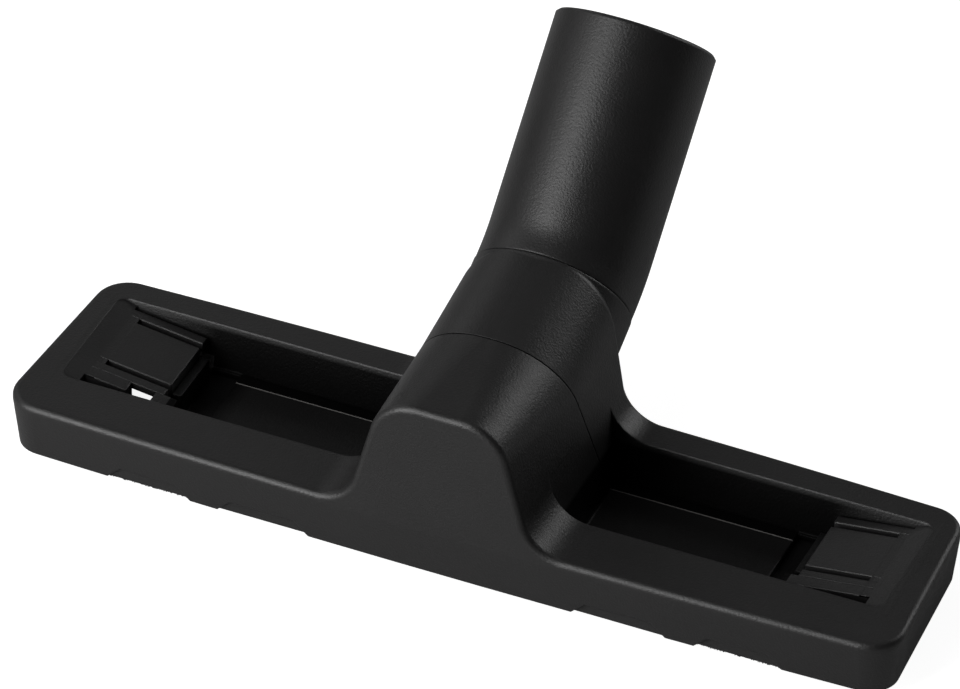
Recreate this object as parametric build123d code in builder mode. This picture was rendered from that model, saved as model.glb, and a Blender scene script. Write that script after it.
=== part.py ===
from build123d import *
import os
from math import cos, sin, tan, radians

# Vacuum floor brush head: a flat head with a hollow neck, a swivel elbow and a clip-in brush carrier.
# X runs along the head, Y to the rear, Z up. The origin is on the floor under the middle of the head.

# Head, seen from above
head_length_front = 241.0
head_length_rear = 234.0
head_width_ends = 58.0
side_bow = 2.0
corner_radius = 9.0

# Head, seen in section
bristle_standout = 3.5
housing_height = 15.5
wall_draft = 6.5
wall = 2.2
edge_round = 1.6

# Wells beside the neck, measured at the rim
well_front_y = -14.0
well_rear_y = 21.5
end_rim_width = 6.0
well_draft = 12.0
well_floor_top = 3.6
well_floor_setback = 35.0
well_corner_radius = 3.0
well_start_x = 18.0

# Dome and neck sections: half of the flat top, corner radius, top height, draft of the flanks
front_section = (6.5, 12.0, 50.2, 15.0)
seam_section = (1.5, 20.3, 52.2, 9.0)
rear_section = (0.8, 20.3, 59.5, 9.0)
section_overrun = 2.0
seam_top_y = 0.5
seam_foot_y = 16.0
flare_radius = 11.0
duct_wall = 2.4

# Shallow recesses along the foot of the front wall: middle and length of each, one set per side
scallops = ((48.0, 25.0), (79.5, 23.0))
scallop_height = 3.8
scallop_depth = 0.9
scallop_side_angle = 45.0

# Neck and swivel
swivel_y = 38.8
swivel_z = 40.2
swivel_tilt = 62.0
neck_outer_r = 21.2
neck_length = 30.0
neck_bore_r = 18.9
neck_bore_depth = 15.0
neck_duct_r = 16.5
neck_duct_start_z = 30.5
neck_duct_overrun = 6.0

# Elbow
elbow_straight = 9.0
elbow_tube_tilt = 45.9
elbow_tube_length = 60.0
elbow_bend_r = 40.0
tube_outer_r = 21.0
tube_bore_r = 17.75
tube_bore_length = 35.0
bore_shoulder_angle = 45.0
elbow_duct_r = 16.0
spigot_length = 14.0
running_clearance = 0.3
mouth_chamfer = 0.7

# Retaining ring in the neck and seal on the spigot
retainer_from_face = 9.5
retainer_width = 2.4
retainer_outer_r = 20.0
retainer_inner_r = 17.8
retainer_opening = 8.0
seal_from_face = 3.0
seal_width = 2.4
seal_groove_depth = 1.3
seal_clearance = 0.1

# Latch tongues in the wells
latch_root_z = 14.8
latch_free_z = 11.5
latch_length = 25.0
latch_thickness = 2.0
latch_end_drop = 5.0
tongue_front_y = -1.5
tongue_rear_y = 15.0
leg_width = 2.5
leg_slit = 2.0

# Brush carrier and strips under the head
carrier_thickness = 1.8
carrier_gap = 0.3
suction_slot_margin = 19.0
suction_slot_front_y = -21.0
suction_slot_rear_y = -15.0
window_front_y = -12.0
window_rear_y = 18.0
window_margin = 9.0
window_length = 20.0
hook_thickness = 2.4
hook_height = 7.0
strip_margin = 17.0
strip_height = 2.5
front_strip_y = -23.4
front_strip_width = 3.2
rear_strip_y = 23.2
rear_strip_width = 2.4
tuft_pitch = 6.0
tuft_length = 4.5
tuft_depth = 1.5
tuft_slot_gap = 0.3

shorter_half = min(head_length_front, head_length_rear) / 2
well_end_x = shorter_half - end_rim_width
well_floor_end_x = well_end_x - well_floor_setback
latch_free_x = well_end_x - latch_length
window_outer_x = shorter_half - window_margin
suction_slot_length = 2 * (shorter_half - suction_slot_margin)
strip_length = 2 * (shorter_half - strip_margin)
base_z = bristle_standout
rim_z = base_z + housing_height
half_width = head_width_ends / 2
full_half_width = half_width + side_bow
neck_top_z = rear_section[2]
recess_height = carrier_thickness + carrier_gap
draft_top_z = rim_z - 1.5 * edge_round
base_inset = (draft_top_z - base_z) * tan(radians(wall_draft))
pocket_inset = base_inset + wall
well_middle_y = (well_front_y + well_rear_y) / 2
well_width = well_rear_y - well_front_y
window_middle = (window_outer_x - window_length / 2, (window_front_y + window_rear_y) / 2)
window_size = (window_length, window_rear_y - window_front_y)


def head_outline(height, inset=0.0):
    """Outline of the head: a trapezoid with bowed long sides and round corners."""
    front_x = head_length_front / 2 - inset
    rear_x = head_length_rear / 2 - inset
    side_y = half_width - inset
    with BuildSketch(Plane.XY.offset(height)) as outline:
        with BuildLine():
            ThreePointArc((-front_x, -side_y), (0, -side_y - side_bow), (front_x, -side_y))
            Line((front_x, -side_y), (rear_x, side_y))
            ThreePointArc((rear_x, side_y), (0, side_y + side_bow), (-rear_x, side_y))
            Line((-rear_x, side_y), (-front_x, -side_y))
        make_face()
        fillet(outline.vertices(), corner_radius - inset)
    return outline.sketch


def arch_points(section, inset, stretch, foot_z):
    """Points of the right half of the dome's arch: foot, end of the flank, middle of the corner, flat top."""
    flat, corner, top, draft = section
    radius = corner - inset
    centre_z = top * stretch - corner
    tangent = (flat + radius * cos(radians(draft)), centre_z + radius * sin(radians(draft)))
    foot = (tangent[0] + (tangent[1] - foot_z) * tan(radians(draft)), foot_z)
    middle_angle = radians((90 - draft) / 2)
    middle = (flat + radius * sin(middle_angle), centre_z + radius * cos(middle_angle))
    return foot, tangent, middle, (flat, centre_z + radius)


def draw_arch(foot, tangent, middle, shoulder):
    """Draw the arch from the right foot over the top to the left foot."""
    left = [(-x, z) for x, z in (foot, tangent, middle, shoulder)]
    Line(foot, tangent)
    ThreePointArc(tangent, middle, shoulder)
    Line(shoulder, left[3])
    ThreePointArc(left[3], left[2], left[1])
    Line(left[1], left[0])


def arch(plane, section, stretch=1.0):
    """Section of the dome alone, with its flanks carried down to the base."""
    points = arch_points(section, 0, stretch, 0)
    with BuildSketch(plane) as profile:
        with BuildLine():
            draw_arch(*points)
            Line((-points[0][0], 0), points[0])
        make_face()
    return profile.sketch


def duct_arch(plane, section, stretch=1.0):
    """Section of the duct in the dome, with flat corners."""
    points = arch_points(section, duct_wall, stretch, 0)
    with BuildSketch(plane) as profile:
        Polygon(*points, *[(-x, z) for x, z in reversed(points)], align=None)
    return profile.sketch


def roofline(plane, section, stretch=1.0):
    """Section of the whole head: the dome flares out into the level rim on both sides."""
    rim_height = housing_height * stretch
    reach = head_length_front / 2 + section_overrun
    points = arch_points(section, 0, stretch, rim_height)
    foot_x = points[0][0]
    with BuildSketch(plane) as profile:
        with BuildLine():
            draw_arch(*points)
            Polyline((-foot_x, rim_height), (-reach, rim_height), (-reach, 0), (reach, 0),
                     (reach, rim_height), (foot_x, rim_height))
        make_face()
        at_rim = profile.vertices().filter_by_position(Axis.Y, rim_height - 0.01, rim_height + 0.01)
        fillet(at_rim.filter_by_position(Axis.X, -foot_x - 0.01, foot_x + 0.01), flare_radius)
    return profile.sketch


def across(y, z, normal):
    """Plane across the head with its own Y axis pointing up."""
    return Plane(origin=(0, y, z), x_dir=(-1, 0, 0), z_dir=normal)


seam_lean = (seam_foot_y - seam_top_y) / seam_section[2]
seam_normal = Vector(0, 1, seam_lean).normalized()
seam_plane = across(seam_foot_y, base_z, seam_normal)
seam_stretch = (1 + seam_lean ** 2) ** 0.5
front_plane = across(-full_half_width - section_overrun, base_z, Vector(0, 1, 0))
rear_plane = across(full_half_width + section_overrun, base_z, Vector(0, 1, 0))
inner_front_plane = across(-half_width + duct_wall, base_z, Vector(0, 1, 0))
swivel_axis = Vector(0, sin(radians(swivel_tilt)), cos(radians(swivel_tilt)))
tube_axis = Vector(0, sin(radians(elbow_tube_tilt)), cos(radians(elbow_tube_tilt)))
swivel_centre = Vector(0, swivel_y, base_z + swivel_z)
bend_point = swivel_centre + swivel_axis * elbow_straight
mouth_centre = bend_point + tube_axis * elbow_tube_length
swivel_plane = across(swivel_y, base_z + swivel_z, swivel_axis)
mouth_plane = across(mouth_centre.Y, mouth_centre.Z, tube_axis)
neck_duct_start = Vector(0, seam_foot_y - seam_lean * neck_duct_start_z, base_z + neck_duct_start_z)
neck_duct_line = swivel_centre - swivel_axis * neck_bore_depth - neck_duct_start
neck_duct_plane = across(neck_duct_start.Y, neck_duct_start.Z, neck_duct_line)

# Envelope that gives the outer walls their draft, from just below the rounded rim down to the base
with BuildPart() as envelope:
    extrude(head_outline(draft_top_z), amount=base_z - draft_top_z, taper=wall_draft)
    extrude(head_outline(draft_top_z), amount=neck_top_z)

with BuildPart() as dome_form:
    loft([arch(front_plane, front_section), arch(seam_plane, seam_section, stretch=seam_stretch)], ruled=True)
    loft([arch(seam_plane, seam_section, stretch=seam_stretch), arch(rear_plane, rear_section)], ruled=True)

# Space above the well floors, kept clear of the dome's flanks
with BuildPart() as well_space:
    for side in (-1, 1):
        for amount, draft in ((well_floor_top - housing_height, well_draft), (flare_radius, 0)):
            with BuildSketch(Plane.XY.offset(rim_z)):
                with Locations((side * (well_start_x + well_end_x) / 2, well_middle_y)):
                    RectangleRounded(well_end_x - well_start_x, well_width, well_corner_radius)
            extrude(amount=amount, taper=draft)
    add(dome_form.part, mode=Mode.SUBTRACT)

# Channel all round the wells, open below
with BuildPart() as channel_space:
    extrude(head_outline(base_z, pocket_inset), amount=housing_height - wall)
    with BuildSketch(Plane.XY.offset(rim_z)):
        with Locations((0, well_middle_y)):
            Rectangle(2 * (well_end_x + wall), well_width + 2 * wall)
    extrude(amount=-housing_height, taper=well_draft, mode=Mode.SUBTRACT)

# Air duct: from the suction channel through the dome to the swivel
with BuildPart() as duct_space:
    loft([duct_arch(inner_front_plane, front_section),
          duct_arch(seam_plane.offset(-duct_wall), seam_section, seam_stretch)], ruled=True)
    with BuildSketch(neck_duct_plane.offset(-neck_duct_overrun)):
        Circle(neck_duct_r)
    extrude(amount=neck_duct_line.length + 2 * neck_duct_overrun)
    with BuildSketch(swivel_plane):
        Circle(neck_bore_r)
    extrude(amount=-neck_bore_depth)
    with BuildSketch(swivel_plane.offset(-retainer_from_face)):
        Circle(retainer_outer_r)
    extrude(amount=-retainer_width)

# Latch: a tongue between two legs that slopes down from the end of each well
with BuildPart() as latches:
    for side in (-1, 1):
        slope = (latch_root_z - latch_free_z) / (well_end_x - latch_free_x)
        root_x = well_end_x + wall
        root_z = base_z + latch_root_z + slope * wall
        free_z = base_z + latch_free_z
        leg_offset = leg_slit + leg_width
        for low_y, high_y in ((tongue_front_y, tongue_rear_y),
                              (tongue_front_y - leg_offset, tongue_front_y - leg_slit),
                              (tongue_rear_y + leg_slit, tongue_rear_y + leg_offset)):
            with BuildSketch(Plane.XZ.offset(-low_y)):
                with BuildLine():
                    Polyline((side * root_x, root_z), (side * latch_free_x, free_z),
                             (side * latch_free_x, free_z - latch_thickness),
                             (side * root_x, root_z - latch_thickness), close=True)
                make_face()
            extrude(amount=low_y - high_y)
        with BuildSketch(Plane.XZ.offset(-tongue_front_y)):
            with Locations((side * (latch_free_x + latch_thickness / 2), free_z)):
                Rectangle(latch_thickness, latch_end_drop, align=(Align.CENTER, Align.MAX))
        extrude(amount=tongue_front_y - tongue_rear_y)

# Whole housing, with the dome, the neck, the wells and the hollows, before it is parted into two shells
with BuildPart() as housing:
    loft([roofline(front_plane, front_section), roofline(seam_plane, seam_section, seam_stretch)], ruled=True)
    loft([roofline(seam_plane, seam_section, seam_stretch), roofline(rear_plane, rear_section)], ruled=True)
    extrude(head_outline(base_z), amount=2 * neck_top_z, mode=Mode.INTERSECT)
    front_wall = housing.faces().sort_by(Axis.Y)[0]
    fillet(front_wall.edges().filter_by_position(Axis.Z, rim_z, base_z + neck_top_z), edge_round)
    add(envelope.part, mode=Mode.INTERSECT)
    add(well_space.part, mode=Mode.SUBTRACT)
    split(bisect_by=swivel_plane, keep=Keep.BOTTOM)
    with BuildSketch(swivel_plane):
        Circle(neck_outer_r)
    extrude(amount=-neck_length)

    add(channel_space.part, mode=Mode.SUBTRACT)
    add(duct_space.part, mode=Mode.SUBTRACT)
    extrude(head_outline(base_z, pocket_inset), amount=recess_height, mode=Mode.SUBTRACT)
    for side in (-1, 1):
        with BuildSketch(Plane.XY.offset(base_z)):
            with Locations((side * (well_floor_end_x + well_end_x - wall) / 2, well_middle_y)):
                Rectangle(well_end_x - wall - well_floor_end_x, well_width - 3 * wall)
        extrude(amount=well_floor_top, mode=Mode.SUBTRACT)
    add(latches.part)
    for scallop_x, scallop_length in scallops:
        scallop_y = side_bow * (2 * scallop_x / head_length_front) ** 2 - full_half_width + base_inset
        with BuildSketch(Plane.XZ.offset(-scallop_y - scallop_depth)):
            with Locations((-scallop_x, base_z), (scallop_x, base_z)):
                Trapezoid(scallop_length, scallop_height, scallop_side_angle, align=(Align.CENTER, Align.MIN))
        extrude(amount=wall + scallop_depth, mode=Mode.SUBTRACT)

# Everything behind the parting line: over the neck, along the feet of the rear walls and round the ends
with BuildPart() as rear_side:
    floor_rear_y = well_rear_y - (housing_height - well_floor_top) * tan(radians(well_draft))
    floor_z = base_z + well_floor_top
    seam_floor_y = seam_foot_y - seam_lean * well_floor_top
    top_z = base_z + 2 * neck_top_z
    seam_far_y = seam_foot_y - seam_lean * 2 * neck_top_z
    end_length = head_length_front - well_floor_end_x
    with BuildSketch(Plane.YZ.offset(-well_floor_end_x)):
        with BuildLine():
            Polyline((seam_floor_y, floor_z), (floor_rear_y, floor_z), (floor_rear_y, 0),
                     (2 * neck_top_z, 0), (2 * neck_top_z, top_z), (seam_far_y, top_z), close=True)
        make_face()
    extrude(amount=2 * well_floor_end_x)
    for side in (-1, 1):
        with BuildSketch(Plane.XY):
            with Locations((side * (well_floor_end_x + end_length / 2), well_front_y - wall)):
                Rectangle(end_length, head_width_ends, align=(Align.CENTER, Align.MIN))
        extrude(amount=top_z)

with BuildPart() as front_housing:
    add(housing.part)
    add(rear_side.part, mode=Mode.SUBTRACT)
front_housing.part.label = "front_housing"

with BuildPart() as rear_housing:
    add(housing.part)
    add(rear_side.part, mode=Mode.INTERSECT)
rear_housing.part.label = "rear_housing"

# Elbow: spigot in the neck, bend and straight tube with the bore for the wand
bend_angle = swivel_tilt - elbow_tube_tilt
bend_reach = elbow_bend_r * tan(radians(bend_angle / 2))
bend_start = swivel_plane.offset(elbow_straight - bend_reach)
bend_end = mouth_plane.offset(bend_reach - elbow_tube_length)
bend_axis = Axis(bend_start.origin + bend_start.y_dir * elbow_bend_r, (1, 0, 0))


def bent_bar(radius, start_length):
    """Round bar along the elbow: straight from the neck, round the bend and on to the mouth."""
    with BuildPart() as bar:
        with BuildSketch(bend_start):
            Circle(radius)
        extrude(amount=-start_length)
        with BuildSketch(bend_start):
            Circle(radius)
        revolve(axis=bend_axis, revolution_arc=bend_angle)
        with BuildSketch(bend_end):
            Circle(radius)
        extrude(amount=elbow_tube_length - bend_reach)
    return bar.part


with BuildPart() as swivel_elbow:
    add(bent_bar(tube_outer_r, elbow_straight - bend_reach - running_clearance))
    chamfer(swivel_elbow.edges().filter_by(GeomType.CIRCLE).sort_by(Axis.Z)[-1], mouth_chamfer)
    with BuildSketch(swivel_plane.offset(running_clearance)):
        Circle(neck_bore_r - running_clearance)
    extrude(amount=-spigot_length - running_clearance)
    add(bent_bar(elbow_duct_r, elbow_straight - bend_reach + spigot_length), mode=Mode.SUBTRACT)
    with BuildSketch(mouth_plane):
        Circle(tube_bore_r)
    extrude(amount=-tube_bore_length, mode=Mode.SUBTRACT)
    with BuildSketch(mouth_plane.offset(-tube_bore_length)):
        Circle(tube_bore_r)
    extrude(amount=-(tube_bore_r - elbow_duct_r), taper=bore_shoulder_angle, mode=Mode.SUBTRACT)
    for from_face, width, depth in ((retainer_from_face - running_clearance,
                                     retainer_width + 2 * running_clearance,
                                     neck_bore_r - retainer_inner_r),
                                    (seal_from_face, seal_width, seal_groove_depth)):
        with BuildSketch(swivel_plane.offset(-from_face)):
            Circle(neck_bore_r)
            Circle(neck_bore_r - running_clearance - depth, mode=Mode.SUBTRACT)
        extrude(amount=-width, mode=Mode.SUBTRACT)
swivel_elbow.part.label = "swivel_elbow"

# Open spring ring that sits in the neck's groove and holds the spigot
with BuildPart() as retaining_ring:
    with BuildSketch(swivel_plane.offset(-retainer_from_face)):
        Circle(retainer_outer_r)
        Circle(retainer_inner_r, mode=Mode.SUBTRACT)
        with Locations((0, retainer_outer_r)):
            Rectangle(retainer_opening, retainer_outer_r, mode=Mode.SUBTRACT)
    extrude(amount=-retainer_width)
retaining_ring.part.label = "retaining_ring"

with BuildPart() as neck_seal:
    with BuildSketch(swivel_plane.offset(-seal_from_face)):
        Circle(neck_bore_r - seal_clearance)
        Circle(neck_bore_r - running_clearance - seal_groove_depth, mode=Mode.SUBTRACT)
    extrude(amount=-seal_width)
neck_seal.part.label = "neck_seal"

# Brush carrier: a sole plate with the suction slot, two tuft slots, two windows and a hook at each latch
with BuildPart() as brush_carrier:
    extrude(head_outline(base_z, pocket_inset + carrier_gap), amount=carrier_thickness)
    with BuildSketch(Plane.XY.offset(base_z)):
        with Locations((0, (suction_slot_front_y + suction_slot_rear_y) / 2)):
            SlotOverall(suction_slot_length, suction_slot_rear_y - suction_slot_front_y)
        for strip_y in (front_strip_y, rear_strip_y):
            with Locations((0, strip_y)):
                Rectangle(strip_length + 2 * tuft_slot_gap, tuft_depth + 2 * tuft_slot_gap)
        for side in (-1, 1):
            with Locations((side * window_middle[0], window_middle[1])):
                RectangleRounded(*window_size, well_corner_radius)
    extrude(amount=carrier_thickness, mode=Mode.SUBTRACT)
    for side in (-1, 1):
        hook_x = latch_free_x - carrier_gap - hook_thickness / 2
        with BuildSketch(Plane.XY.offset(base_z + carrier_thickness)):
            with Locations((side * hook_x, (tongue_front_y + tongue_rear_y) / 2)):
                Rectangle(hook_thickness, tongue_rear_y - tongue_front_y)
        extrude(amount=hook_height)
brush_carrier.part.label = "brush_carrier"


def strip_bar(strip_y, strip_width):
    """Outline of a strip's backing bar, on top of the carrier."""
    with BuildSketch(Plane.XY.offset(base_z + carrier_thickness)) as bar:
        with Locations((0, strip_y)):
            Rectangle(strip_length, strip_width)
    return bar.sketch


def tuft_row(strip_y):
    """Outlines of a strip's tufts on the floor."""
    with BuildSketch(Plane.XY) as row:
        with Locations((0, strip_y)):
            with GridLocations(tuft_pitch, 1, int(strip_length / tuft_pitch), 1):
                Rectangle(tuft_length, tuft_depth)
    return row.sketch


with BuildPart() as front_brush_backing:
    extrude(strip_bar(front_strip_y, front_strip_width), amount=strip_height)
front_brush_backing.part.label = "front_brush_backing"

with BuildPart() as rear_brush_backing:
    extrude(strip_bar(rear_strip_y, rear_strip_width), amount=strip_height)
rear_brush_backing.part.label = "rear_brush_backing"

with BuildPart() as front_bristles:
    extrude(tuft_row(front_strip_y), amount=base_z + carrier_thickness)
front_bristles.part.label = "front_bristles"

with BuildPart() as rear_bristles:
    extrude(tuft_row(rear_strip_y), amount=base_z + carrier_thickness)
rear_bristles.part.label = "rear_bristles"

os.makedirs("parts", exist_ok=True)
export_step(front_housing.part, "parts/front_housing.step")
export_step(rear_housing.part, "parts/rear_housing.step")
export_step(swivel_elbow.part, "parts/swivel_elbow.step")
export_step(retaining_ring.part, "parts/retaining_ring.step")
export_step(neck_seal.part, "parts/neck_seal.step")
export_step(brush_carrier.part, "parts/brush_carrier.step")
export_step(front_brush_backing.part, "parts/front_brush_backing.step")
export_step(rear_brush_backing.part, "parts/rear_brush_backing.step")
export_step(front_bristles.part, "parts/front_bristles.step")
export_step(rear_bristles.part, "parts/rear_bristles.step")
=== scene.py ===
import math
import random

import bmesh
import bpy
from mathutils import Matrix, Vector


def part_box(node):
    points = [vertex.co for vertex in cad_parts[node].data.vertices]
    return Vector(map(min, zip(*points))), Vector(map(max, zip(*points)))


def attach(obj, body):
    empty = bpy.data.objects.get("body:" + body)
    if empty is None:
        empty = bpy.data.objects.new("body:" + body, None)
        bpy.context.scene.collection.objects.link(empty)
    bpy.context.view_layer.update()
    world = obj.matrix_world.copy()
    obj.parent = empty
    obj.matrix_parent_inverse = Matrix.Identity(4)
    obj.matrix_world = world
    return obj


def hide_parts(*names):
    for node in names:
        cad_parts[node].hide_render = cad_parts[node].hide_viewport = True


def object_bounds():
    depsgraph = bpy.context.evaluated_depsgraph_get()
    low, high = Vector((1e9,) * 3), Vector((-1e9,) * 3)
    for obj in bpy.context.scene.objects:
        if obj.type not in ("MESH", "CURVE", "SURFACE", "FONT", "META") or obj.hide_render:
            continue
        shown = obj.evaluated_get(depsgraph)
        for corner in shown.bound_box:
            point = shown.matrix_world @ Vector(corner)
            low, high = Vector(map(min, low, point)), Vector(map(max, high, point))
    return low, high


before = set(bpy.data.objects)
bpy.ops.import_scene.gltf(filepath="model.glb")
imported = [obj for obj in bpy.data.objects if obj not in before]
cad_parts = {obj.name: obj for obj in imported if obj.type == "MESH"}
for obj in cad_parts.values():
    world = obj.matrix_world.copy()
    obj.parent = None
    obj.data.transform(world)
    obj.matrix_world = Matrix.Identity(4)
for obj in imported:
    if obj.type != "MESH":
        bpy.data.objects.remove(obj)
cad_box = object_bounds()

# Camera, at the photograph's angle: it looks down on the front of the head from the right
VIEW_AZIMUTH = math.radians(23.5)
VIEW_ELEVATION = math.radians(37.56)
VIEW_ROLL = math.radians(0.77)
CAMERA_DISTANCE = 2.5
FRAME_WIDTH_AT_OBJECT = 0.23892
LOOK_RIGHT = -0.0017
LOOK_UP = 0.0431
SENSOR_WIDTH = 36.0
CLIP_START = 0.01

# Colours
PLASTIC_COLOUR = (0.012, 0.0117, 0.0118, 1.0)
# The carrier's own black, made darker than the housing as painted shade where it shows between the well
# floor and the left latch
CARRIER_COLOUR_AND_SHADE = (0.004, 0.004, 0.0041, 1.0)
BRISTLE_COLOUR = (0.008, 0.008, 0.008, 1.0)
RUBBER_COLOUR = (0.007, 0.007, 0.007, 1.0)
# Painted highlight: colour of the thin lit line along the floor of each well
PAINTED_HIGHLIGHT_COLOUR = (0.16, 0.155, 0.15, 1.0)
BLACK = (0.0, 0.0, 0.0, 1.0)
WHITE = (1.0, 1.0, 1.0, 1.0)

# Roughness and gloss
PLASTIC_ROUGHNESS = 0.43
ELBOW_ROUGHNESS = 0.40
RING_ROUGHNESS = 0.4
RUBBER_ROUGHNESS = 0.7
BRISTLE_ROUGHNESS = 0.6
PLASTIC_GLOSS = 0.5
# Low gloss of the carrier, lowered further as painted shade
CARRIER_GLOSS_AND_SHADE = 0.2
MOTTLE_SIZE = 0.018
MOTTLE_RANGE = (0.3, 0.7)
MOTTLE_CHANGE = 0.03

# Grain of the moulded plastic, and soft edges
METRE = 1.0
GRAIN_SIZE = 0.0006
GRAIN_DEPTH = 0.00013
GRAIN_STRENGTH = 0.8
GRAIN_DETAIL = 3.0
GRAIN_ROUGHNESS = 0.6
FAINT_GRAIN_DEPTH = 0.00002
FAINT_GRAIN_STRENGTH = 0.3
EDGE_SOFTNESS = 0.0007
EDGE_SAMPLES = 6

# Parting line of the two shells over the dome: it leans forward as it rises
SEAM_FOOT_Y = 0.0160
SEAM_FOOT_Z = 0.0035
SEAM_RUN = 0.0155
SEAM_RISE = 0.0522
SEAM_HALF_WIDTH = 0.00022
SEAM_REACH_X = 0.035
SEAM_LOWEST_Z = 0.0078

# The same parting line at the ends of the rim, where it doesn't show
END_JOINT_X = 0.076
END_JOINT_Y = -0.0162
END_JOINT_REAR_Y = -0.011
JOINT_HALF_WIDTH = 0.0009

# Wells: how far they reach, and how much light their walls and floors keep under the painted shade, with a
# painted shadow beside the left latch and a painted highlight along each floor
WELL_MIDDLE_Y = 0.00375
WELL_HALF_DEPTH = 0.0183
WELL_REACH_X = 0.084
WELL_FADE_X = 0.112
REAR_WALL_Y = 0.0196
WELL_TOP_Z = 0.0188
WELL_DARK_Z = 0.0172
WELL_FLOOR_Z = 0.0071
WELL_FLOOR_MARGIN = 0.0002
WELL_FLOOR_FADE = 0.0012
# Painted shade: share of colour and gloss kept low on the walls and on the floors
WELL_WALL_LIGHT = 0.12
WELL_FLOOR_LIGHT = 0.55
# Painted shadow on the well floor beside the left latch
LATCH_SHADE_X = (-0.079, -0.071)
# Place and width of the painted highlight along each well's floor
FLOOR_EDGE_Y = 0.0152
FLOOR_EDGE_WIDTH = 0.00035

# Latch roots and front legs as wide as the photo shows them, which the solids lack
END_OUTER_X = 0.1136
END_STEP_COUNT = 8
END_DEPTH = 0.0024
END_SINK = 0.00002
END_FRONT_Y = -0.0160
END_REAR_Y = 0.0234
ROOT_OUTER_X = 0.1126
ROOT_INNER_X = 0.1035
ROOT_FRONT_Y = -0.0096
ROOT_REAR_Y = 0.0195
ROOT_TOP_Z = 0.01905
ROOT_LIFT = 0.00003
ROOT_DEPTH = 0.0004
ROOT_STEPS = 10
LATCH_OUTER_X = 0.111
LATCH_INNER_X = 0.086
LATCH_OUTER_Z = 0.0183
LATCH_INNER_Z = 0.0150
LEG_REAR_Y = -0.0060
LEG_DEPTH = 0.005
LEG_BREAK_X = (0.0948, 0.0880)
LEG_INNER_X = 0.0822

# Corners at each step along a plate, and the faces from one step to the next
PLATE_CORNERS = 4
PLATE_FACES = ((0, 2, 6, 4), (1, 5, 7, 3), (0, 4, 5, 1), (2, 3, 7, 6))

# Bristle filaments: three-sided, from the root to the tip
FILAMENTS_PER_TUFT = 90
FILAMENT_RADIUS = 0.00013
FILAMENT_TURNS = (0, 120, 240)
FILAMENT_FACES = ((0, 1, 4, 3), (1, 2, 5, 4), (2, 0, 3, 5), (3, 4, 5), (2, 1, 0))
FRONT_SEED = 3
REAR_SEED = 5
TUFT_COUNT = 33
TUFT_PITCH = 0.006
TUFT_LENGTH = 0.0045
TIP_SPLAY = 0.0007
STRAND_SIZE = 0.0004
STRAND_STRETCH = (1.0, 1.0, 0.05)
STRAND_DEPTH = 0.0002
STRAND_STRENGTH = 0.8

# Floor and backdrop
FLOOR_COLOUR = (0.5, 0.5, 0.5, 1.0)
FLOOR_ROUGHNESS = 0.9
FLOOR_GLOW = 0.9
FLOOR_REACH = 3.0
FLOOR_DROP = 0.0002
BACKDROP_COLOUR = (0.8, 0.8, 0.8, 1.0)
ROOM_COLOUR = (0.9, 0.95, 1.0, 1.0)
ROOM_STRENGTH = 0.005

# Soft boxes round the head: azimuth and elevation in degrees, and power in watts
LAMPS = {"front_left_low": (-30.0, 15.0, 10.8), "front_left_high": (-30.0, 45.0, 5.0),
         "left": (-65.0, 35.0, 0.9), "back_left": (-110.0, 30.0, 1.0), "back_right": (150.0, 25.0, 3.5),
         "top": (180.0, 78.0, 0.36), "behind": (-150.0, 25.0, 0.5)}
LAMP_DISTANCE = 1.2
LAMP_SIZE = 0.6
LAMP_AIM = Vector((0.0, 0.01, 0.03))

# Places of a Mix node's two inputs and its result, for each kind of data
MIX_SOCKETS = {"VECTOR": (4, 5, 1), "RGBA": (6, 7, 2)}


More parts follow.
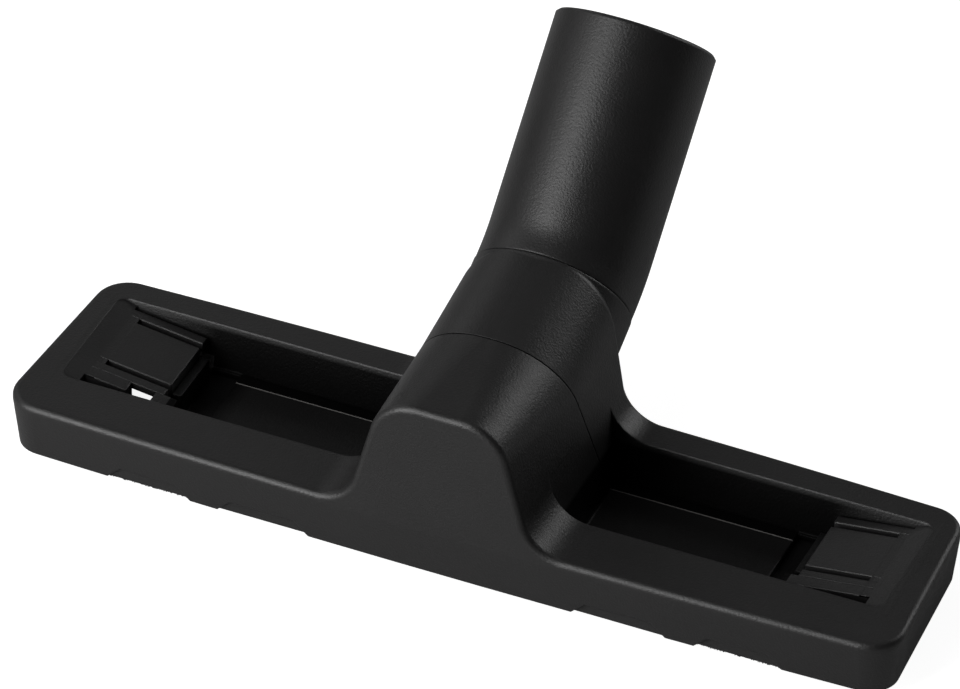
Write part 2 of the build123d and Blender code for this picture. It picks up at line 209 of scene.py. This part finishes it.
class Nodes:
    """A material's node tree, with short calls to add and join nodes."""

    def __init__(self, name):
        self.material = bpy.data.materials.new(name)
        self.material.use_nodes = True
        self.tree = self.material.node_tree
        self.shader = self.tree.nodes["Principled BSDF"]
        self.place = self.add("ShaderNodeTexCoord").outputs["Object"]

    def add(self, kind, **settings):
        node = self.tree.nodes.new(kind)
        for key, value in settings.items():
            setattr(node, key, value)
        return node

    def link(self, source, target):
        self.tree.links.new(source, target)

    def feed(self, value, socket):
        """Link an output to this input, or set the input to a number or colour."""
        if isinstance(value, bpy.types.NodeSocket):
            self.link(value, socket)
        else:
            socket.default_value = value

    def axes(self):
        """X, Y and Z of each place on the surface."""
        split = self.add("ShaderNodeSeparateXYZ")
        self.link(self.place, split.inputs["Vector"])
        return split.outputs["X"], split.outputs["Y"], split.outputs["Z"]

    def math(self, operation, first, second=None):
        """One sum on outputs or numbers."""
        node = self.add("ShaderNodeMath", operation=operation)
        self.feed(first, node.inputs[0])
        if second is not None:
            self.feed(second, node.inputs[1])
        return node.outputs["Value"]

    def times(self, first, *others):
        product = first
        for other in others:
            product = self.math("MULTIPLY", product, other)
        return product

    def minus(self, first, second):
        return self.math("SUBTRACT", first, second)

    def unsigned(self, value):
        return self.math("ABSOLUTE", value)

    def above(self, value, limit):
        """One where the value is over the limit, and nought elsewhere."""
        return self.math("GREATER_THAN", value, limit)

    def below(self, value, limit):
        """One where the value is under the limit, and nought elsewhere."""
        return self.math("LESS_THAN", value, limit)

    def inside(self, value, middle, half):
        """One where the value is within half a width of the middle, and nought elsewhere."""
        return self.below(self.unsigned(self.minus(value, middle)), half)

    def spread(self, value, low, high, to_low, to_high):
        """Value mapped from one range to another, held at the ends."""
        node = self.add("ShaderNodeMapRange")
        self.link(value, node.inputs["Value"])
        node.inputs["From Min"].default_value = low
        node.inputs["From Max"].default_value = high
        node.inputs["To Min"].default_value = to_low
        node.inputs["To Max"].default_value = to_high
        return node.outputs["Result"]

    def mix(self, kind, share, first, second):
        """The first where the share is nought, and the second where it is one."""
        node = self.add("ShaderNodeMix", data_type=kind)
        first_place, second_place, result_place = MIX_SOCKETS[kind]
        self.link(share, node.inputs["Factor"])
        self.feed(first, node.inputs[first_place])
        self.feed(second, node.inputs[second_place])
        return node.outputs[result_place]

    def noise(self, size, detail=2.0, roughness=0.5, place=None):
        """Noise of features about this size, in metres."""
        node = self.add("ShaderNodeTexNoise")
        self.link(place or self.place, node.inputs["Vector"])
        node.inputs["Scale"].default_value = METRE / size
        node.inputs["Detail"].default_value = detail
        node.inputs["Roughness"].default_value = roughness
        return node.outputs["Fac"]

    def soft_edges(self):
        """Normal that rounds every sharp edge a little."""
        node = self.add("ShaderNodeBevel", samples=EDGE_SAMPLES)
        node.inputs["Radius"].default_value = EDGE_SOFTNESS
        return node.outputs["Normal"]

    def bump(self, height, depth, strength, under=None):
        """Bump of this depth in metres, on top of another normal."""
        node = self.add("ShaderNodeBump")
        self.link(height, node.inputs["Height"])
        node.inputs["Distance"].default_value = depth
        node.inputs["Strength"].default_value = strength
        if under is not None:
            self.link(under, node.inputs["Normal"])
        self.link(node.outputs["Normal"], self.shader.inputs["Normal"])


def seam_mask(nodes):
    """One on the parting line over the dome, and nought elsewhere."""
    x, y, z = nodes.axes()
    forward = nodes.times(nodes.minus(z, SEAM_FOOT_Z), SEAM_RUN / SEAM_RISE)
    behind = nodes.math("ADD", nodes.minus(y, SEAM_FOOT_Y), forward)
    line = nodes.spread(nodes.unsigned(behind), SEAM_HALF_WIDTH / 2, SEAM_HALF_WIDTH, 1.0, 0.0)
    near = nodes.below(nodes.unsigned(x), SEAM_REACH_X)
    return nodes.times(line, near, nodes.above(z, SEAM_LOWEST_Z))


def end_joint(nodes):
    """One along the parting line at the ends of the rim, and nought elsewhere."""
    x, y, _ = nodes.axes()
    across = nodes.unsigned(x)
    lengthwise = nodes.times(nodes.inside(y, END_JOINT_Y, JOINT_HALF_WIDTH),
                             nodes.above(across, END_JOINT_X - JOINT_HALF_WIDTH))
    crosswise = nodes.times(nodes.inside(across, END_JOINT_X, JOINT_HALF_WIDTH),
                            nodes.below(y, END_JOINT_REAR_Y))
    return nodes.math("MAXIMUM", lengthwise, crosswise)


def painted_well_shade(nodes):
    """Painted shade: the share of the light that a place keeps, one outside the wells, less on their walls
    and floors, and less still on the floor beside the left latch.
    """
    x, y, z = nodes.axes()
    fading = nodes.spread(nodes.unsigned(x), WELL_REACH_X, WELL_FADE_X, 1.0, 0.0)
    rear_wall = nodes.times(nodes.above(y, REAR_WALL_Y), fading)
    reach = nodes.math("MAXIMUM", nodes.inside(x, 0.0, WELL_REACH_X), rear_wall)
    within = nodes.times(nodes.inside(y, WELL_MIDDLE_Y, WELL_HALF_DEPTH), reach)
    # Painted shade on the walls, deepest low down, and on the floors
    wall = nodes.spread(z, WELL_DARK_Z, WELL_TOP_Z, WELL_WALL_LIGHT, 1.0)
    low = nodes.spread(z, WELL_FLOOR_Z + WELL_FLOOR_MARGIN, WELL_FLOOR_Z + WELL_FLOOR_FADE,
                       WELL_FLOOR_LIGHT, 0.0)
    # Painted shadow on the floor beside the left latch
    beside_latch = nodes.spread(x, *LATCH_SHADE_X, 0.0, 1.0)
    floor = nodes.times(low, nodes.below(y, FLOOR_EDGE_Y), beside_latch)
    lost = nodes.times(nodes.minus(1.0, nodes.math("MAXIMUM", wall, floor)), within)
    return nodes.minus(1.0, lost)


def painted_floor_highlight(nodes):
    """Painted highlight: one on the thin lit line along the floor of each well, and nought elsewhere."""
    x, y, z = nodes.axes()
    return nodes.times(nodes.inside(y, FLOOR_EDGE_Y, FLOOR_EDGE_WIDTH / 2),
                       nodes.inside(z, WELL_FLOOR_Z, FLOOR_EDGE_WIDTH), nodes.inside(x, 0.0, WELL_REACH_X))


def moulded_plastic(name, colour, roughness=PLASTIC_ROUGHNESS, gloss=PLASTIC_GLOSS):
    """Nodes of a black plastic with its colour, gloss and slightly uneven roughness."""
    nodes = Nodes(name)
    nodes.shader.inputs["Base Color"].default_value = colour
    nodes.shader.inputs["Specular IOR Level"].default_value = gloss
    uneven = nodes.spread(nodes.noise(MOTTLE_SIZE), *MOTTLE_RANGE, roughness - MOTTLE_CHANGE,
                          roughness + MOTTLE_CHANGE)
    nodes.link(uneven, nodes.shader.inputs["Roughness"])
    return nodes


def with_grain(nodes, normal=None):
    """Material of these nodes with a fine spark-eroded grain on it."""
    grain = nodes.noise(GRAIN_SIZE, GRAIN_DETAIL, GRAIN_ROUGHNESS)
    nodes.bump(grain, GRAIN_DEPTH, GRAIN_STRENGTH, normal)
    return nodes.material


def grained_plastic(name, colour, **finish):
    """Grained plastic with soft edges."""
    nodes = moulded_plastic(name, colour, **finish)
    return with_grain(nodes, nodes.soft_edges())


def housing_plastic():
    """Plastic of the shells: painted shade in the wells, a painted highlight along each well floor, and the
    dark parting line over the dome.
    """
    nodes = moulded_plastic("housing_plastic", PLASTIC_COLOUR)
    # Painted shade in the wells, together with the dark parting line, darkens colour and gloss
    painted_shade_and_seam = nodes.times(painted_well_shade(nodes), nodes.minus(1.0, seam_mask(nodes)))
    nodes.link(nodes.times(painted_shade_and_seam, PLASTIC_GLOSS), nodes.shader.inputs["Specular IOR Level"])
    shaded = nodes.mix("RGBA", painted_shade_and_seam, BLACK, PLASTIC_COLOUR)
    # Painted highlight along the floor of each well
    nodes.link(nodes.mix("RGBA", painted_floor_highlight(nodes), shaded, PAINTED_HIGHLIGHT_COLOUR), nodes.shader.inputs["Base Color"])
    plain_normal = nodes.add("ShaderNodeNewGeometry").outputs["Normal"]
    return with_grain(nodes, nodes.mix("VECTOR", end_joint(nodes), nodes.soft_edges(), plain_normal))


def smooth_surface(name, colour, roughness):
    """Plain plastic or rubber with hardly any grain."""
    nodes = Nodes(name)
    nodes.shader.inputs["Base Color"].default_value = colour
    nodes.shader.inputs["Roughness"].default_value = roughness
    nodes.bump(nodes.noise(GRAIN_SIZE), FAINT_GRAIN_DEPTH, FAINT_GRAIN_STRENGTH)
    return nodes.material


def bristle_filaments():
    """Fine upright lines of light and shade, for tufts of filaments."""
    nodes = Nodes("bristle_filaments")
    nodes.shader.inputs["Base Color"].default_value = BRISTLE_COLOUR
    nodes.shader.inputs["Roughness"].default_value = BRISTLE_ROUGHNESS
    stretch = nodes.add("ShaderNodeMapping")
    nodes.link(nodes.place, stretch.inputs["Vector"])
    stretch.inputs["Scale"].default_value = STRAND_STRETCH
    strands = nodes.noise(STRAND_SIZE, place=stretch.outputs["Vector"])
    nodes.bump(strands, STRAND_DEPTH, STRAND_STRENGTH)
    return nodes.material


def dress_nodes():
    """Give every CAD node its material, and add the pieces that the solids lack."""
    housing = housing_plastic()
    elbow = grained_plastic("elbow_plastic", PLASTIC_COLOUR, roughness=ELBOW_ROUGHNESS)
    # The carrier's darker colour and lower gloss are painted shade on top of its own black
    carrier = grained_plastic("carrier_plastic", CARRIER_COLOUR_AND_SHADE, gloss=CARRIER_GLOSS_AND_SHADE)
    ring = smooth_surface("ring_plastic", PLASTIC_COLOUR, RING_ROUGHNESS)
    rubber = smooth_surface("seal_rubber", RUBBER_COLOUR, RUBBER_ROUGHNESS)
    filaments = bristle_filaments()
    looks = {"front_housing": housing, "rear_housing": housing, "swivel_elbow": elbow,
             "brush_carrier": carrier, "front_brush_backing": carrier, "rear_brush_backing": carrier,
             "retaining_ring": ring, "neck_seal": rubber, "front_bristles": filaments,
             "rear_bristles": filaments}
    for name, material in looks.items():
        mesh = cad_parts[name].data
        mesh.materials.clear()
        mesh.materials.append(material)
    add_latch_roots(housing, with_grain(moulded_plastic("latch_plastic", PLASTIC_COLOUR)))
    add_filaments("front_bristles", FRONT_SEED, filaments)
    add_filaments("rear_bristles", REAR_SEED, filaments)


def turn_faces_out(mesh):
    shell = bmesh.new()
    shell.from_mesh(mesh)
    bmesh.ops.recalc_face_normals(shell, faces=shell.faces)
    shell.to_mesh(mesh)
    shell.free()


def add_piece(name, vertices, faces, material):
    """Mesh piece that moves with the head."""
    mesh = bpy.data.meshes.new(name)
    mesh.from_pydata(vertices, [], faces)
    mesh.validate()
    turn_faces_out(mesh)
    mesh.materials.append(material)
    piece = bpy.data.objects.new(name, mesh)
    bpy.context.scene.collection.objects.link(piece)
    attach(piece, "head")
    return piece


def latch_top(x):
    """Height of the latch plate's top at this distance from the middle."""
    slope = (LATCH_OUTER_Z - LATCH_INNER_Z) / (LATCH_OUTER_X - LATCH_INNER_X)
    return LATCH_INNER_Z + slope * (x - LATCH_INNER_X)


def root_top(x):
    """Height of the smooth slope from the rim's top down to the latch plate."""
    share = max(0.0, (ROOT_OUTER_X - x) / (ROOT_OUTER_X - ROOT_INNER_X))
    ease = share * share * (3 - 2 * share)
    return ROOT_TOP_Z + (latch_top(ROOT_INNER_X) + ROOT_LIFT - ROOT_TOP_Z) * ease


def add_plate(name, side, profile, front_y, rear_y, material):
    """Plate between two Y places, with its X, top and underside given at each step along it."""
    vertices = [(side * x, y, z) for x, *heights in profile for y in (front_y, rear_y) for z in heights]
    last = len(vertices) - PLATE_CORNERS
    faces = [(0, 1, 3, 2)]
    for start in range(0, last, PLATE_CORNERS):
        faces += [tuple(start + corner for corner in face) for face in PLATE_FACES]
    faces.append((last, last + 2, last + 3, last + 1))
    add_piece(name, vertices, faces, material)


def add_latch_roots(soft, crisp):
    """Each latch grows out of the rim in one smooth slope. Its wide front leg is whole on the right only."""
    places = [ROOT_OUTER_X + (ROOT_INNER_X - ROOT_OUTER_X) * i / ROOT_STEPS for i in range(ROOT_STEPS + 1)]
    end_places = [END_OUTER_X] + places[:END_STEP_COUNT]
    root = [(x, root_top(x), min(root_top(x), latch_top(x)) - ROOT_DEPTH) for x in places]
    end = [(x, root_top(x) - END_SINK, root_top(x) - END_DEPTH) for x in end_places]
    broken_leg = ((ROOT_OUTER_X, LEG_BREAK_X[0]), (LEG_BREAK_X[1], LEG_INNER_X))
    whole_leg = ((ROOT_OUTER_X, LEG_INNER_X),)
    for side, hand, legs in ((-1, "left", broken_leg), (1, "right", whole_leg)):
        add_plate(f"latch_end_{hand}", side, end, END_FRONT_Y, END_REAR_Y, crisp)
        add_plate(f"latch_root_{hand}", side, root, ROOT_FRONT_Y, ROOT_REAR_Y, crisp)
        for number, stretch in enumerate(legs, 1):
            leg = [(x, latch_top(x), latch_top(x) - LEG_DEPTH) for x in stretch]
            add_plate(f"latch_leg_{hand}_{number}", side, leg, ROOT_FRONT_Y, LEG_REAR_Y, soft)


def add_filaments(node, seed, material):
    """Fine filaments in tufts, in the place and size of the solid tufts."""
    low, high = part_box(node)
    draw = random.Random(seed)
    turns = [math.radians(turn) for turn in FILAMENT_TURNS]
    rim = [(FILAMENT_RADIUS * math.cos(turn), FILAMENT_RADIUS * math.sin(turn)) for turn in turns]
    vertices = []
    faces = []
    for tuft in range(TUFT_COUNT):
        middle = (tuft - (TUFT_COUNT - 1) / 2) * TUFT_PITCH
        for _ in range(FILAMENTS_PER_TUFT):
            along = draw.uniform(-1.0, 1.0)
            root_x = middle + along * (TUFT_LENGTH / 2 - FILAMENT_RADIUS)
            root_y = draw.uniform(low.y + FILAMENT_RADIUS, high.y - FILAMENT_RADIUS)
            tip_x = root_x + along * TIP_SPLAY
            first = len(vertices)
            for x, z in ((root_x, high.z), (tip_x, low.z)):
                vertices += [(x + rim_x, root_y + rim_y, z) for rim_x, rim_y in rim]
            faces += [tuple(first + corner for corner in face) for face in FILAMENT_FACES]
    piece = add_piece(node.replace("bristles", "filaments"), vertices, faces, material)
    piece.data.shade_smooth()
    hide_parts(node)


def add_floor():
    """Pale plain floor, which the camera sees as white with a faint shadow."""
    floor_z = cad_box[0].z - FLOOR_DROP
    corners = [(-FLOOR_REACH, -FLOOR_REACH, floor_z), (FLOOR_REACH, -FLOOR_REACH, floor_z),
               (FLOOR_REACH, FLOOR_REACH, floor_z), (-FLOOR_REACH, FLOOR_REACH, floor_z)]
    mesh = bpy.data.meshes.new("floor")
    mesh.from_pydata(corners, [], [(0, 1, 2, 3)])
    floor = bpy.data.objects.new("floor", mesh)
    bpy.context.scene.collection.objects.link(floor)
    nodes = Nodes("floor_paper")
    nodes.shader.inputs["Base Color"].default_value = FLOOR_COLOUR
    nodes.shader.inputs["Roughness"].default_value = FLOOR_ROUGHNESS
    paper = nodes.shader.outputs["BSDF"]
    glow = nodes.add("ShaderNodeEmission")
    glow.inputs["Color"].default_value = WHITE
    glow.inputs["Strength"].default_value = FLOOR_GLOW
    seen = nodes.add("ShaderNodeAddShader")
    nodes.link(paper, seen.inputs[0])
    nodes.link(glow.outputs["Emission"], seen.inputs[1])
    mix = show_to_camera(nodes.tree, paper, seen.outputs["Shader"])
    nodes.link(mix, nodes.tree.nodes["Material Output"].inputs["Surface"])
    mesh.materials.append(nodes.material)


def add_world():
    """Dim room light, and a pale backdrop where the camera looks past the floor."""
    world = bpy.data.worlds.new("room")
    bpy.context.scene.world = world
    world.use_nodes = True
    tree = world.node_tree
    room = tree.nodes["Background"]
    room.inputs["Color"].default_value = ROOM_COLOUR
    room.inputs["Strength"].default_value = ROOM_STRENGTH
    backdrop = tree.nodes.new("ShaderNodeBackground")
    backdrop.inputs["Color"].default_value = BACKDROP_COLOUR
    mix = show_to_camera(tree, room.outputs["Background"], backdrop.outputs["Background"])
    tree.links.new(mix, tree.nodes["World Output"].inputs["Surface"])


def show_to_camera(tree, lit, seen):
    """Shader that lights the object as one, and that the camera sees as the other."""
    path = tree.nodes.new("ShaderNodeLightPath")
    mix = tree.nodes.new("ShaderNodeMixShader")
    tree.links.new(path.outputs["Is Camera Ray"], mix.inputs["Fac"])
    tree.links.new(lit, mix.inputs[1])
    tree.links.new(seen, mix.inputs[2])
    return mix.outputs["Shader"]


def look_from(azimuth, elevation):
    """Unit vector from the object to a viewer at these angles."""
    return Vector((math.sin(azimuth) * math.cos(elevation), -math.cos(azimuth) * math.cos(elevation),
                   math.sin(elevation)))


def add_lamps():
    """Soft boxes: a low one at the front left, one above it, and faint ones at the sides and behind."""
    for name, (azimuth, elevation, power) in LAMPS.items():
        data = bpy.data.lights.new(name, "AREA")
        data.shape = "RECTANGLE"
        data.size = LAMP_SIZE
        data.size_y = LAMP_SIZE
        data.energy = power
        lamp = bpy.data.objects.new(name, data)
        bpy.context.scene.collection.objects.link(lamp)
        away = look_from(math.radians(azimuth), math.radians(elevation))
        lamp.location = LAMP_AIM + away * LAMP_DISTANCE
        lamp.rotation_euler = away.to_track_quat("Z", "Y").to_euler()


def add_camera():
    back = look_from(VIEW_AZIMUTH, VIEW_ELEVATION)
    right = Vector((math.cos(VIEW_AZIMUTH), math.sin(VIEW_AZIMUTH), 0.0))
    up = back.cross(right)
    turned_right = right * math.cos(VIEW_ROLL) + up * math.sin(VIEW_ROLL)
    turned_up = up * math.cos(VIEW_ROLL) - right * math.sin(VIEW_ROLL)
    look_at = turned_right * LOOK_RIGHT + turned_up * LOOK_UP
    camera_data = bpy.data.cameras.new("camera")
    camera_data.sensor_width = SENSOR_WIDTH
    camera_data.lens = SENSOR_WIDTH * CAMERA_DISTANCE / FRAME_WIDTH_AT_OBJECT
    camera_data.clip_start = CLIP_START
    camera = bpy.data.objects.new("camera", camera_data)
    bpy.context.scene.collection.objects.link(camera)
    camera.location = look_at + back * CAMERA_DISTANCE
    camera.rotation_euler = back.to_track_quat("Z", "Y").to_euler()
    camera.rotation_euler.rotate_axis("Z", VIEW_ROLL)
    bpy.context.scene.camera = camera


dress_nodes()
add_floor()
add_world()
add_lamps()
add_camera()
bpy.context.scene.view_settings.view_transform = "Standard"
